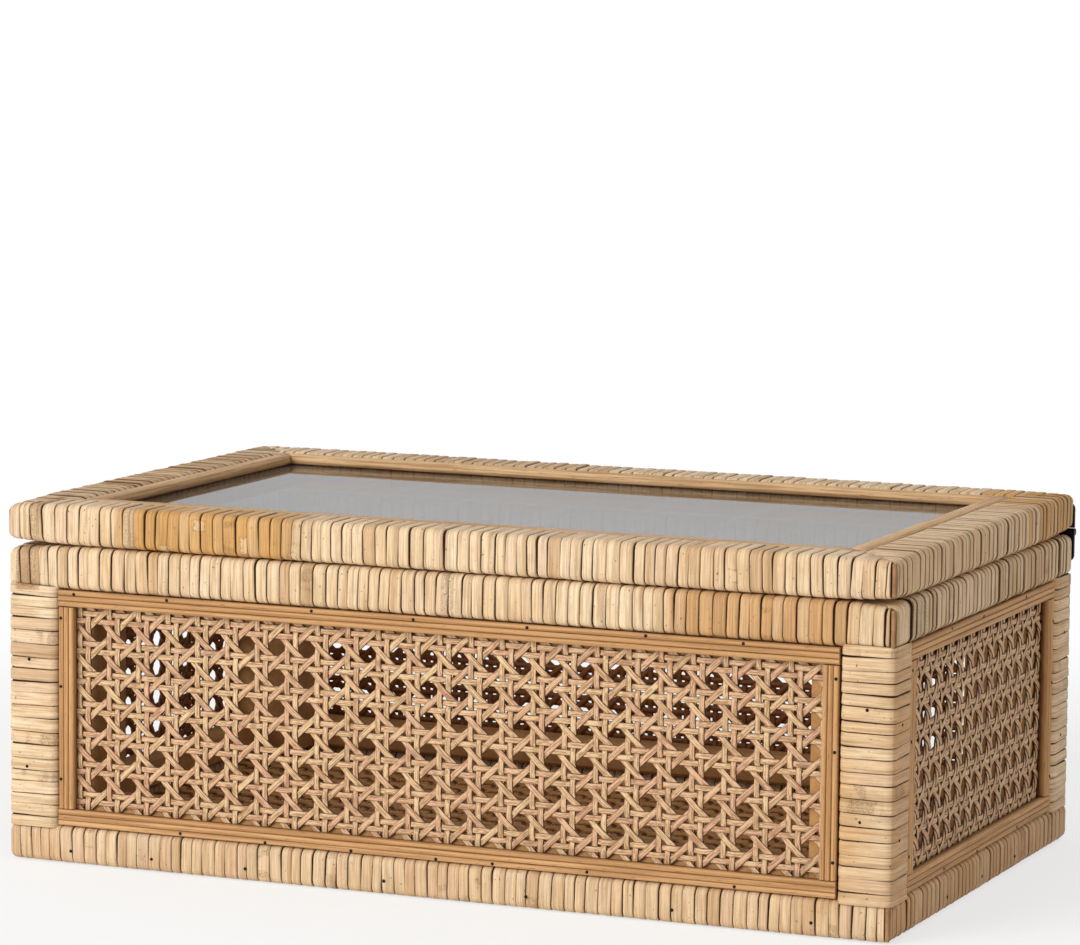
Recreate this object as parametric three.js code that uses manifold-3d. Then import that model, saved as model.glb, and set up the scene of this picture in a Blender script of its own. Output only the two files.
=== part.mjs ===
// A storage box of rattan: wrapped rails and posts, cane panels, a woven floor, and a hinged
// lid with a pane of glass. Millimetres, +Z up. The long front faces -Y, the hinges are behind.
// It needs the npm packages three and manifold-3d.

import * as THREE from 'three'
import { mergeVertices } from 'three/addons/utils/BufferGeometryUtils.js'
import Module from 'manifold-3d'

const wasm = await Module()
wasm.setup()

// Overall sizes, over the wrapped rails
const boxLength = 360
const boxDepth = 220
const baseHeight = 14.5
const wallHeight = 92.5
const rimHeight = 16.5
const lidGap = 0.6
const lidHeight = 15.9
const clearance = 0.3

// Rails and posts
const railThickness = 18
const railEdge = 2.4
const postWidth = 21
const postProud = 0.6
const postEdge = 3

// Peel wrapped round rails and posts, each turn lapping the next
const turnPitch = 17
const turnStep = 0.7
const turnLap = 1.2
const bareLength = 3
const bareDepth = 1.3

// Lid: a wrapped face, a ledge under the glass and a bead over its edge
const lidFaceWidth = 20
const ledgeWidth = 7
const ledgeHeight = 8
const glassThickness = 3
const beadWidth = 7
const beadHeight = 3.8
const beadSteps = 6

// Walls: trim of two half-round strands, cane behind it, bare sticks behind the cane
const trimRecess = 0.6
const trimStrand = 3.2
const trimThickness = 3.3
const trimWeb = 1.4
const trimSteps = 4
const caneThickness = 1.2
const stickSize = 12
const stickEdge = 1.2

// Cane: from hole to hole along and up the wall, and a hole across its flats
const caneAlong = 21.4
const caneUp = 19.7
const caneHole = 11.4
const caneHoleSides = 6

// Floor, dropped on a ledge that runs round the base rails: weavers over and under stiff stakes
const weaverPitch = 5.2
const weaverThickness = 1.1
const stakePitch = 8.5
const stakeThickness = 1.5
const floorLedgeHeight = 8.2
const floorLedgeWidth = 4

// Butt hinges, flat on the backs of the rim and the lid
const hingeLength = 38
const hingeOverhang = 0.4
const leafReach = 11.8
const leafThickness = 1.2
const leafCorner = 2.5
const knuckleRadius = 1.5
const pinRadius = 0.75
const screwHoleRadius = 1.3
const screwFromEnd = 7
const screwFromEdge = 4
const roundSteps = 12
const holeSteps = 8

// Levels above the table
const rimBottom = baseHeight + wallHeight
const rimTop = rimBottom + rimHeight
const lidBottom = rimTop + lidGap
const glassBottom = lidBottom + ledgeHeight + clearance
const beadBottom = glassBottom + glassThickness + clearance
const panelBottom = baseHeight + clearance
const panelTop = rimBottom - clearance
const panelHeight = panelTop - panelBottom

// Distances in from the outer face of the rails
const caneDepth = trimRecess + trimThickness + clearance
const stickDepth = caneDepth + caneThickness + clearance
const floorInset = railThickness - floorLedgeWidth + clearance
const glassInset = lidFaceWidth + clearance
const trimWidth = 2 * trimStrand

// The hinge pin's line
const hingeOut = clearance + knuckleRadius
const hingeY = boxDepth / 2 + hingeOut
const hingeZ = rimTop + lidGap / 2
const boreRadius = pinRadius + clearance

// Each side, drawn as the front is: x along it, y in from its outer face, z up
const sides = [
  { name: 'front', length: boxLength, reach: boxDepth / 2, turn: 0 },
  { name: 'right', length: boxDepth, reach: boxLength / 2, turn: Math.PI / 2 },
  { name: 'back', length: boxLength, reach: boxDepth / 2, turn: Math.PI },
  { name: 'left', length: boxDepth, reach: boxLength / 2, turn: -Math.PI / 2 },
]

const finishes = {
  peel: { color: 0xd9b588, roughness: 0.62, metalness: 0 },
  core: { color: 0xc79a67, roughness: 0.66, metalness: 0 },
  cane: { color: 0xc9a27c, roughness: 0.7, metalness: 0 },
  stick: { color: 0xb78856, roughness: 0.72, metalness: 0 },
  floor: { color: 0xb08a63, roughness: 0.75, metalness: 0 },
  glass: { color: 0xc9d2d2, roughness: 0.05, metalness: 0, transparent: true, opacity: 0.35 },
  steel: { color: 0x1d1c1b, roughness: 0.45, metalness: 0.9 },
}

function piece(name, geometry, finish) {
  const mesh = new THREE.Mesh(geometry, new THREE.MeshStandardMaterial(finishes[finish]))
  mesh.name = name
  return mesh
}

// Solids, for the joins and cuts. Vertices that lie in a flat face drop out afterwards.
const flatness = 0.001

function toSolid(geometry) {
  const bare = geometry.clone()
  bare.deleteAttribute('normal')
  bare.deleteAttribute('uv')
  const merged = mergeVertices(bare, 1e-4)
  const vertProperties = new Float32Array(merged.attributes.position.array)
  const triVerts = new Uint32Array(merged.index.array)
  return new wasm.Manifold(new wasm.Mesh({ numProp: 3, vertProperties, triVerts }))
}

function toGeometry(solid) {
  const mesh = solid.simplify(flatness).getMesh()
  const geometry = new THREE.BufferGeometry()
  geometry.setAttribute('position', new THREE.BufferAttribute(mesh.vertProperties, 3))
  geometry.setIndex(new THREE.BufferAttribute(mesh.triVerts, 1))
  geometry.computeVertexNormals()
  return geometry
}

// Bars: a section in (depth, height), carried along x through stations

// A section point, and the way it moves where the peel dips between two turns
const point = (depth, height, sinkDepth = 0, sinkHeight = 0) => ({ depth, height, sinkDepth, sinkHeight })

function barGeometry(section, stations) {
  const outline = section.map((p) => new THREE.Vector2(p.depth, p.height))
  const points = THREE.ShapeUtils.isClockWise(outline) ? section : [...section].reverse()
  const positions = stations.flatMap(({ x, sink }) =>
    points.flatMap((p) => [x, p.depth + p.sinkDepth * sink, p.height + p.sinkHeight * sink]))

  const count = points.length
  const faces = []
  for (let ring = 0; ring < stations.length - 1; ring++) {
    for (let i = 0; i < count; i++) {
      const near = ring * count + i
      const nearNext = ring * count + (i + 1) % count
      faces.push(near, near + count, nearNext + count, near, nearNext + count, nearNext)
    }
  }

  const endOutline = points.map((p) => new THREE.Vector2(
    p.depth + p.sinkDepth * stations[0].sink, p.height + p.sinkHeight * stations[0].sink))
  const last = (stations.length - 1) * count
  for (const [a, b, c] of THREE.ShapeUtils.triangulateShape(endOutline, [])) {
    const turned = (endOutline[b].x - endOutline[a].x) * (endOutline[c].y - endOutline[a].y)
      - (endOutline[b].y - endOutline[a].y) * (endOutline[c].x - endOutline[a].x) > 0
    const [second, third] = turned ? [c, b] : [b, c]
    faces.push(a, second, third, last + a, last + third, last + second)
  }

  const geometry = new THREE.BufferGeometry()
  geometry.setAttribute('position', new THREE.Float32BufferAttribute(positions, 3))
  geometry.setIndex(faces)
  geometry.computeVertexNormals()
  return geometry
}

const plainStations = (length) => [{ x: -length / 2, sink: 0 }, { x: length / 2, sink: 0 }]

// Each turn starts proud and slopes down to where the next one laps it
function wrapStations(length, bare) {
  const span = length - 2 * bare
  const turns = Math.max(1, Math.round(span / turnPitch))
  const pitch = span / turns
  const stations = bare > 0 ? [{ x: -length / 2, sink: bareDepth }, { x: -span / 2, sink: bareDepth }] : []
  for (let turn = 0; turn < turns; turn++) {
    const start = -span / 2 + turn * pitch
    const lap = turn > 0 || bare > 0 ? turnLap : 0
    stations.push({ x: start + lap, sink: 0 }, { x: start + pitch, sink: turnStep })
  }
  if (bare > 0) stations.push({ x: span / 2 + turnLap, sink: bareDepth }, { x: length / 2, sink: bareDepth })
  return stations
}

// A bar cut at 45 degrees at both ends, so that four of them make a frame
function mitredBar(section, length, stations = plainStations(length)) {
  const overhang = 1
  const outer = Math.min(...section.map((p) => p.depth)) - overhang
  const inner = Math.max(...section.map((p) => p.depth)) + overhang
  const low = Math.min(...section.map((p) => p.height)) - overhang
  const high = Math.max(...section.map((p) => p.height)) + overhang
  const halfAt = (depth) => length / 2 - depth - clearance / Math.SQRT2
  const wedge = new THREE.Shape([
    new THREE.Vector2(-halfAt(outer), outer),
    new THREE.Vector2(halfAt(outer), outer),
    new THREE.Vector2(halfAt(inner), inner),
    new THREE.Vector2(-halfAt(inner), inner),
  ])
  const cutter = new THREE.ExtrudeGeometry(wedge, { depth: high - low, bevelEnabled: false })
  cutter.translate(0, 0, low)
  return toGeometry(toSolid(barGeometry(section, stations)).intersect(toSolid(cutter)))
}

// Sections

const baseSection = [
  point(railThickness, 0),
  point(railEdge, 0, 1),
  point(0, railEdge, 1),
  point(0, baseHeight - railEdge, 1),
  point(railEdge, baseHeight, 1),
  point(railThickness - floorLedgeWidth, baseHeight),
  point(railThickness - floorLedgeWidth, floorLedgeHeight),
  point(railThickness, floorLedgeHeight),
]

const rimSection = [
  point(railThickness, 0),
  point(railEdge, 0, 1),
  point(0, railEdge, 1),
  point(0, rimHeight - railEdge, 1),
  point(railEdge, rimHeight, 1),
  point(railThickness, rimHeight),
]

const lidSection = [
  point(lidFaceWidth + ledgeWidth, 0),
  point(railEdge, 0, 1),
  point(0, railEdge, 1),
  point(0, lidHeight - railEdge, 1),
  point(railEdge, lidHeight, 1, -1),
  point(lidFaceWidth, lidHeight, 0, -1),
  point(lidFaceWidth, ledgeHeight),
  point(lidFaceWidth + ledgeWidth, ledgeHeight),
]

const postSize = postWidth + postProud
const postSection = [
  point(0, postSize, 1, 0),
  point(0, postEdge, 1, 0),
  point(postEdge, 0, 0, 1),
  point(postSize, 0, 0, 1),
  point(postSize, postSize),
]

const stickSection = [
  point(0, stickEdge),
  point(0, stickSize - stickEdge),
  point(stickEdge, stickSize),
  point(stickSize - stickEdge, stickSize),
  point(stickSize, stickSize - stickEdge),
  point(stickSize, stickEdge),
  point(stickSize - stickEdge, 0),
  point(stickEdge, 0),
]

function strandArc(start, width, back, front, steps) {
  return Array.from({ length: steps + 1 }, (_, i) => {
    const angle = Math.PI * i / steps
    return [start + width / 2 * (1 - Math.cos(angle)), back + (front - back) * Math.sin(angle)]
  })
}

const beadSection = strandArc(0, beadWidth, 0, beadHeight, beadSteps).map(([depth, height]) => point(depth, height))

const trimValley = trimThickness - trimWeb
const trimSection = [
  point(trimThickness, 0),
  ...strandArc(0, trimStrand, trimValley, 0, trimSteps).map(([height, depth]) => point(depth, height)),
  ...strandArc(trimStrand, trimStrand, trimValley, 0, trimSteps).slice(1).map(([height, depth]) => point(depth, height)),
  point(trimThickness, trimWidth),
]

// Pieces of one side

function wrappedRail(section, length) {
  return mitredBar(section, length, wrapStations(length, bareLength))
}

function uprightBar(section, height) {
  return barGeometry(section, plainStations(height)).rotateY(Math.PI / 2).translate(0, 0, height / 2)
}

function canePanel(length) {
  const width = length - 2 * clearance
  const sheet = new THREE.Shape([
    new THREE.Vector2(-width / 2, 0),
    new THREE.Vector2(width / 2, 0),
    new THREE.Vector2(width / 2, panelHeight),
    new THREE.Vector2(-width / 2, panelHeight),
  ])
  const columns = Math.floor((width - 2 * trimWidth) / caneAlong)
  const rows = Math.floor((panelHeight - 2 * trimWidth) / caneUp)
  const corner = caneHole / 2 / Math.cos(Math.PI / caneHoleSides)
  for (let column = 0; column < columns; column++) {
    for (let row = 0; row < rows; row++) {
      const x = (column - (columns - 1) / 2) * caneAlong
      const z = panelHeight / 2 + (row - (rows - 1) / 2) * caneUp
      const hole = Array.from({ length: caneHoleSides }, (_, i) => {
        const angle = Math.PI * (2 * i + 1) / caneHoleSides
        return new THREE.Vector2(x + corner * Math.cos(angle), z + corner * Math.sin(angle))
      })
      sheet.holes.push(new THREE.Path(hole))
    }
  }
  const geometry = new THREE.ExtrudeGeometry(sheet, { depth: caneThickness, bevelEnabled: false })
  return geometry.rotateX(Math.PI / 2).translate(0, caneThickness, 0)
}

function wallPieces({ name, length }) {
  const panelLength = length - 2 * postWidth
  const trimLength = panelLength - 2 * clearance
  const stickLength = length - 2 * (postWidth + stickSize + 2 * clearance)
  const sideTrimHeight = panelHeight - 2 * (trimWidth + clearance)
  const pieces = []
  const add = (label, geometry, finish, x, depth, height) => {
    const mesh = piece(label, geometry, finish)
    mesh.position.set(x, depth, height)
    pieces.push(mesh)
  }

  add(`base_rail_${name}`, wrappedRail(baseSection, length), 'peel', 0, 0, 0)
  add(`rim_rail_${name}`, wrappedRail(rimSection, length), 'peel', 0, 0, rimBottom)
  add(`cane_panel_${name}`, canePanel(panelLength), 'cane', 0, caneDepth, panelBottom)

  const longTrim = barGeometry(trimSection, plainStations(trimLength))
  add(`bottom_trim_${name}`, longTrim, 'core', 0, trimRecess, panelBottom)
  add(`top_trim_${name}`, longTrim.clone(), 'core', 0, trimRecess, panelTop - trimWidth)
  const sideTrim = uprightBar(trimSection, sideTrimHeight)
  const trimFoot = panelBottom + trimWidth + clearance
  add(`left_trim_${name}`, sideTrim, 'core', -trimLength / 2, trimRecess, trimFoot)
  add(`right_trim_${name}`, sideTrim.clone(), 'core', trimLength / 2 - trimWidth, trimRecess, trimFoot)

  const stick = barGeometry(stickSection, plainStations(stickLength))
  add(`bottom_stick_${name}`, stick, 'stick', 0, stickDepth, panelBottom)
  add(`top_stick_${name}`, stick.clone(), 'stick', 0, stickDepth, panelTop - stickSize)
  return pieces
}

function lidSidePieces({ name, length }) {
  const rail = piece(`lid_rail_${name}`, wrappedRail(lidSection, length), 'peel')
  rail.position.z = lidBottom
  const bead = piece(`glass_bead_${name}`, mitredBar(beadSection, length - 2 * glassInset), 'core')
  bead.position.set(0, glassInset, beadBottom)
  return [rail, bead]
}

// Corners

function cornerPost(name) {
  const stations = wrapStations(panelHeight, 0)
  const geometry = toGeometry(toSolid(barGeometry(postSection, stations))).rotateY(-Math.PI / 2)
  const mesh = piece(`corner_post_${name}`, geometry, 'peel')
  mesh.position.set(postProud, -postProud, panelBottom + panelHeight / 2)
  return mesh
}

// A stick of L section inside each post, for the cane of both walls
function innerPost(name) {
  const near = stickDepth
  const inner = postWidth + clearance
  const far = inner + stickSize
  const outline = new THREE.Shape([
    new THREE.Vector2(-inner, near),
    new THREE.Vector2(-inner, inner),
    new THREE.Vector2(-near, inner),
    new THREE.Vector2(-near, far),
    new THREE.Vector2(-far, far),
    new THREE.Vector2(-far, near),
  ])
  const geometry = new THREE.ExtrudeGeometry(outline, { depth: panelHeight, bevelEnabled: false })
  const mesh = piece(`inner_post_${name}`, geometry, 'stick')
  mesh.position.z = panelBottom
  return mesh
}

// Floor: one sheet whose two faces rise where a weaver passes over a stake and dip where it passes under

// Where each strand lies across a span, with the span's own two edges
function strandMiddles(span, pitch) {
  const count = Math.round(span / pitch)
  const middles = Array.from({ length: count }, (_, i) => ({ at: ((i + 0.5) / count - 0.5) * span, number: i }))
  return [{ at: -span / 2, number: 0 }, ...middles, { at: span / 2, number: count - 1 }]
}

function wovenSheet(length, width) {
  const stakes = strandMiddles(length, stakePitch)
  const weavers = strandMiddles(width, weaverPitch)
  const isOver = (stake, weaver) => (stake.number + weaver.number) % 2
  const underside = 0
  const topside = stakeThickness + weaverThickness
  const positions = [underside, topside].flatMap((level) =>
    weavers.flatMap((weaver) =>
      stakes.flatMap((stake) => [stake.at, weaver.at, level + isOver(stake, weaver) * weaverThickness])))

  const across = stakes.length
  const perFace = across * weavers.length
  const faces = []
  const quad = (a, b, c, d) => faces.push(a, b, c, a, c, d)
  for (let i = 0; i < weavers.length - 1; i++) {
    for (let j = 0; j < stakes.length - 1; j++) {
      // the fold joins the dips on the upper face, and the rises on the lower one
      const [a, b, c, d] = [i * across + j, i * across + j + 1, (i + 1) * across + j + 1, (i + 1) * across + j]
      const rising = isOver(stakes[j], weavers[i]) + isOver(stakes[j + 1], weavers[i + 1]) > 1
      if (rising) {
        quad(perFace + b, perFace + c, perFace + d, perFace + a)
        quad(a, d, c, b)
      } else {
        quad(perFace + a, perFace + b, perFace + c, perFace + d)
        quad(b, a, d, c)
      }
    }
  }
  const wall = (a, b) => quad(a, b, perFace + b, perFace + a)
  const lastRow = perFace - across
  for (let j = 0; j < across - 1; j++) {
    wall(j, j + 1)
    wall(lastRow + j + 1, lastRow + j)
  }
  for (let i = 0; i < weavers.length - 1; i++) {
    wall((i + 1) * across, i * across)
    wall(i * across + across - 1, (i + 1) * across + across - 1)
  }

  const indexed = new THREE.BufferGeometry()
  indexed.setAttribute('position', new THREE.Float32BufferAttribute(positions, 3))
  indexed.setIndex(faces)
  const geometry = indexed.toNonIndexed() // each fold keeps its edge
  geometry.computeVertexNormals()
  return geometry
}

// Hinge, with its pin along x: y out from the back, the box's leaf hanging down from the pin

function rod(radius, length) {
  return new THREE.CylinderGeometry(radius, radius, length, roundSteps).rotateZ(Math.PI / 2)
}

function hingeLeaf(knuckles) {
  const top = knuckleRadius + clearance
  const half = hingeLength / 2
  const outline = new THREE.Shape()
  outline.moveTo(-half, -top)
  outline.lineTo(-half, leafCorner - leafReach)
  outline.absarc(leafCorner - half, leafCorner - leafReach, leafCorner, Math.PI, 1.5 * Math.PI)
  outline.absarc(half - leafCorner, leafCorner - leafReach, leafCorner, 1.5 * Math.PI, 2 * Math.PI)
  outline.lineTo(half, -top)
  for (const end of [-1, 1]) {
    const hole = new THREE.Path()
    const screwX = end * (half - screwFromEnd)
    hole.absarc(screwX, screwFromEdge - leafReach, screwHoleRadius, 0, 2 * Math.PI)
    outline.holes.push(hole)
  }
  const options = { depth: leafThickness, bevelEnabled: false, curveSegments: holeSteps }
  const sheet = new THREE.ExtrudeGeometry(outline, options)
  sheet.rotateX(Math.PI / 2).translate(0, leafThickness - knuckleRadius, 0)

  let leaf = toSolid(sheet)
  for (const [start, end] of knuckles) {
    const middle = (start + end) / 2
    const web = new THREE.BoxGeometry(end - start, leafThickness, top + clearance)
    web.translate(middle, leafThickness / 2 - knuckleRadius, -(top + clearance) / 2)
    leaf = leaf.add(toSolid(web)).add(toSolid(rod(knuckleRadius, end - start).translate(middle, 0, 0)))
  }
  return toGeometry(leaf.subtract(toSolid(rod(boreRadius, hingeLength + 1))))
}

function hingePieces(name, x) {
  const third = hingeLength / 6
  const gap = clearance / 2
  const boxLeaf = piece(`hinge_leaf_box_${name}`, hingeLeaf([
    [-hingeLength / 2, -third - gap],
    [third + gap, hingeLength / 2],
  ]), 'steel')
  const lidLeaf = piece(`hinge_leaf_lid_${name}`, hingeLeaf([[-third + gap, third - gap]]), 'steel')
  lidLeaf.rotation.y = Math.PI
  const pin = piece(`hinge_pin_${name}`, rod(pinRadius, hingeLength), 'steel')
  for (const part of [boxLeaf, lidLeaf, pin]) part.position.set(x, hingeY, hingeZ)
  return { box: [boxLeaf, pin], lid: [lidLeaf] }
}

// Assembly

const box = new THREE.Group()
const lid = new THREE.Group()
// The lid turns about its hinge pins: a positive turn about -X opens it
const lidPivot = new THREE.Group()
lidPivot.position.set(0, hingeY, hingeZ)
lid.position.set(0, -hingeY, -hingeZ)
lidPivot.add(lid)

for (const side of sides) {
  const place = new THREE.Vector3(0, -side.reach, 0).applyAxisAngle(new THREE.Vector3(0, 0, 1), side.turn)
  for (const [parent, pieces] of [[box, wallPieces(side)], [lid, lidSidePieces(side)]]) {
    const group = new THREE.Group()
    group.position.copy(place)
    group.rotation.z = side.turn
    group.add(...pieces)
    parent.add(group)
  }
}

const corners = ['front_right', 'back_right', 'back_left', 'front_left']
corners.forEach((name, index) => {
  const right = index < 2 ? 1 : -1
  const back = index === 1 || index === 2 ? 1 : -1
  const group = new THREE.Group()
  group.position.set(right * boxLength / 2, back * boxDepth / 2, 0)
  group.rotation.z = index * Math.PI / 2
  group.add(cornerPost(name), innerPost(name))
  box.add(group)
})

const floor = piece('woven_floor', wovenSheet(boxLength - 2 * floorInset, boxDepth - 2 * floorInset), 'floor')
floor.position.z = floorLedgeHeight + clearance
box.add(floor)

const pane = new THREE.BoxGeometry(boxLength - 2 * glassInset, boxDepth - 2 * glassInset, glassThickness)
const glass = piece('glass_pane', pane, 'glass')
glass.position.z = glassBottom + glassThickness / 2
lid.add(glass)

const hingeX = boxLength / 2 + hingeOverhang - hingeLength / 2
for (const [name, x] of [['left', -hingeX], ['right', hingeX]]) {
  const parts = hingePieces(name, x)
  box.add(...parts.box)
  lid.add(...parts.lid)
}

// The origin is under the middle of the whole, hinges included
const rearReach = hingeY + knuckleRadius
const frontReach = boxDepth / 2 + postProud
const storageBox = new THREE.Group()
storageBox.name = 'storage_box'
storageBox.position.y = (frontReach - rearReach) / 2
storageBox.add(box, lidPivot)

export default storageBox
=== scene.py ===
import math
import random
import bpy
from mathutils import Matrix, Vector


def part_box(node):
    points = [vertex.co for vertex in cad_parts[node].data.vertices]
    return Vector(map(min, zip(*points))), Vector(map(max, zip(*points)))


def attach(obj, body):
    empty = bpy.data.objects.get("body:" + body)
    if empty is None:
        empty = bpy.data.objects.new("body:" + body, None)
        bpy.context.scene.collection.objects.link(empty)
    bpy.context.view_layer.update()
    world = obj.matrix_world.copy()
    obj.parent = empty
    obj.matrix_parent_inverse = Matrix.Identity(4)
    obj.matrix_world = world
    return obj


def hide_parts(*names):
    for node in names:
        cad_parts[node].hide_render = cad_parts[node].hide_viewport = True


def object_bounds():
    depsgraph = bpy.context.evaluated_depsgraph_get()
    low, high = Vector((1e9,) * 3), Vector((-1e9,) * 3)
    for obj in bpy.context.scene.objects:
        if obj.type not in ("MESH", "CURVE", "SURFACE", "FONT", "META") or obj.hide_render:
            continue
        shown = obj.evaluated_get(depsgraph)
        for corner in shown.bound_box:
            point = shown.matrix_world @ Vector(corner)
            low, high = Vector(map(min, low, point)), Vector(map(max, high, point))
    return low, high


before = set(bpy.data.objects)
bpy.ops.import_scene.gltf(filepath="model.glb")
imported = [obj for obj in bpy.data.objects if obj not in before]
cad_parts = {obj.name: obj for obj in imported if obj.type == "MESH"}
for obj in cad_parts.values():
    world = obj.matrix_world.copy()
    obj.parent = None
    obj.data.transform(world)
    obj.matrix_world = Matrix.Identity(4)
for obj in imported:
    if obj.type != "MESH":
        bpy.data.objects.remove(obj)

from types import SimpleNamespace

import bmesh
import bpy
from mathutils import Matrix, Vector

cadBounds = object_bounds()
print("frame loaded:", len(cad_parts), "nodes")


# Node trees

strandSection = dict(points=7, squareness=0.5, flatness=0.3)  # of every strand and turn that has a flat back


class Wire:  # a socket; sums written with it add Math nodes to its tree
    def __init__(self, graph, socket):
        self.graph, self.socket = graph, socket

    def of(self, operation, *others):
        return self.graph.math(operation, self, *others)

    def __add__(self, other):
        return self.of("ADD", other)

    def __sub__(self, other):
        return self.of("SUBTRACT", other)

    def __rsub__(self, other):
        return self.graph.math("SUBTRACT", other, self)

    def __mul__(self, other):
        return self.of("MULTIPLY", other)

    def __truediv__(self, other):
        return self.of("DIVIDE", other)

    def __pow__(self, other):
        return self.of("POWER", other)

    def __abs__(self):
        return self.of("ABSOLUTE")

    __radd__ = __add__
    __rmul__ = __mul__

    def clamp(self, low=0.0, high=1.0):
        return self.of("MAXIMUM", low).of("MINIMUM", high)

    def ramp(self, start, end, low=0.0, high=1.0):  # low up to start, high from end on, smooth between
        return self.graph.add("ShaderNodeMapRange", {
            "Value": self, "From Min": start, "From Max": end, "To Min": low, "To Max": high},
            interpolation_type="SMOOTHSTEP")

    def out(self, name):  # another output of the same node
        return Wire(self.graph, self.graph.pick(self.socket.node.outputs, name))


class Graph:  # a tree being built, for a material or for geometry
    def __init__(self, tree):
        self.tree = tree

    def pick(self, sockets, name):
        shown = [s for s in sockets if s.enabled]
        return shown[name] if isinstance(name, int) else next(s for s in shown if s.name == name)

    def add(self, kind, values=None, output=0, **settings):  # the settings are made first, then the sockets
        node = self.tree.nodes.new(kind)
        for name, value in settings.items():
            setattr(node, name, value)
        for name, value in (values or {}).items():
            socket = self.pick(node.inputs, name)
            if isinstance(value, Wire):
                self.tree.links.new(value.socket, socket)
            else:
                socket.default_value = value
        return Wire(self, self.pick(node.outputs, output))

    def end(self, last, kind):  # ties the last node to the tree's output
        self.tree.links.new(last.socket, self.tree.nodes.new(kind).inputs[0])

    def math(self, operation, *values):
        return self.add("ShaderNodeMath", dict(enumerate(values)), operation=operation)

    def vector(self, x=0.0, y=0.0, z=0.0):
        return self.add("ShaderNodeCombineXYZ", {0: x, 1: y, 2: z})

    def split(self, vector):
        parts = self.add("ShaderNodeSeparateXYZ", {0: vector})
        return parts, parts.out(1), parts.out(2)

    def noise(self, vector, scale=1.0, detail=2.0, roughness=0.5):  # three scales stretch it
        if isinstance(scale, tuple):
            vector = self.add("ShaderNodeVectorMath", {0: vector, 1: scale}, operation="MULTIPLY")
            scale = 1.0
        return self.add("ShaderNodeTexNoise", {
            "Vector": vector, "Scale": scale, "Detail": detail, "Roughness": roughness})

    def blend(self, factor, first, second, kind="MIX"):  # colours only
        return self.add("ShaderNodeMix", {
            "Factor": factor, "A": first, "B": second}, data_type="RGBA", blend_type=kind)

    def within(self, place, middle, reach, soft=0.1):  # 1 inside a box of the object's space, with soft edges
        worst = 0.0
        for part, centre, half in zip(self.split(place), middle, reach):
            worst = self.math("MAXIMUM", abs(part - centre) / half, worst)
        return worst.ramp(1 - soft, 1 + soft, 1.0, 0.0)

    # for finishes
    def place(self):
        return self.add("ShaderNodeTexCoord", output="Object")

    def attribute(self, name, output="Fac"):
        return self.add("ShaderNodeAttribute", None, output, attribute_name=name)

    def strand(self):  # how a strand lies, its own chance, and how high its surface stands
        return self.attribute("lie", "Vector"), self.attribute("turn"), self.attribute("crown")

    # for geometry
    def stored(self, name):
        return self.add("GeometryNodeInputNamedAttribute", {"Name": name}, data_type="FLOAT")

    def point(self):
        return self.split(self.add("GeometryNodeInputPosition"))

    def index(self):
        return self.add("GeometryNodeInputIndex")

    def chance(self, low, high, seed):  # a random number for each element
        return self.add("FunctionNodeRandomValue", {"Min": low, "Max": high, "Seed": seed}, data_type="FLOAT")

    def store(self, geometry, name, value, kind="FLOAT", domain="POINT"):
        return self.add("GeometryNodeStoreNamedAttribute", {
            "Geometry": geometry, "Name": name, "Value": value}, data_type=kind, domain=domain)

    def move(self, geometry, how, *place):  # how is Position or Offset
        return self.add("GeometryNodeSetPosition", {"Geometry": geometry, how: self.vector(*place)})

    def repeat(self, points, piece, seed, placing=None):  # a copy on every point, with its number and chance
        copies = self.add("GeometryNodeInstanceOnPoints", {
            "Points": points, "Instance": piece, **(placing or {})})
        copies = self.store(copies, "turn", self.chance(0.0, 1.0, seed), "FLOAT", "INSTANCE")
        copies = self.store(copies, "number", self.index(), "FLOAT", "INSTANCE")
        return self.add("GeometryNodeRealizeInstances", {"Geometry": copies})

    def outline(self, points, crown, x, y):  # a closed section; crown tells the finish how high it stands
        line = self.add("GeometryNodeMeshLine", {"Count": points, "Offset": (0.001, 0, 0)})
        line = self.add("GeometryNodeMeshToCurve", {"Mesh": line})
        line = self.move(self.store(line, "crown", crown), "Position", x, y)
        return self.add("GeometryNodeSetSplineCyclic", {"Geometry": line, "Cyclic": True})

    def flatSection(self, width, thickness, tilt=0.0, shade=1.0):  # flat top and back, round edges
        form = strandSection
        angle = self.index() * (math.pi / (form["points"] - 1))
        dome = angle.of("SINE").clamp()
        across = angle.of("COSINE")
        across = across.of("SIGN") * abs(across) ** form["squareness"]
        return self.outline(
            form["points"], dome ** shade, dome ** form["flatness"] * thickness * (1 + across * tilt),
            across * width * -0.5)

    def sweep(self, lines, section, values=None):
        return self.add("GeometryNodeCurveToMesh", {
            "Curve": lines, "Profile Curve": section, **(values or {})})

    def close(self, geometry, finish):  # every tree ends in real, finished geometry
        geometry = self.add("GeometryNodeRealizeInstances", {"Geometry": geometry})
        geometry = self.add("GeometryNodeSetShadeSmooth", {"Geometry": geometry, "Shade Smooth": True})
        geometry = self.add("GeometryNodeSetMaterial", {"Geometry": geometry, "Material": finish})
        self.end(geometry, "NodeGroupOutput")
        return self.tree


def tint(text):  # a colour as it is written on a screen
    values = [int(text[i:i + 2], 16) / 255 for i in (0, 2, 4)]
    return [v / 12.92 if v <= 0.04045 else ((v + 0.055) / 1.055) ** 2.4 for v in values] + [1.0]


def label(name):  # barLength is shown as Bar Length
    return "".join(" " + letter if letter.isupper() else letter for letter in name).title()


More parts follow.
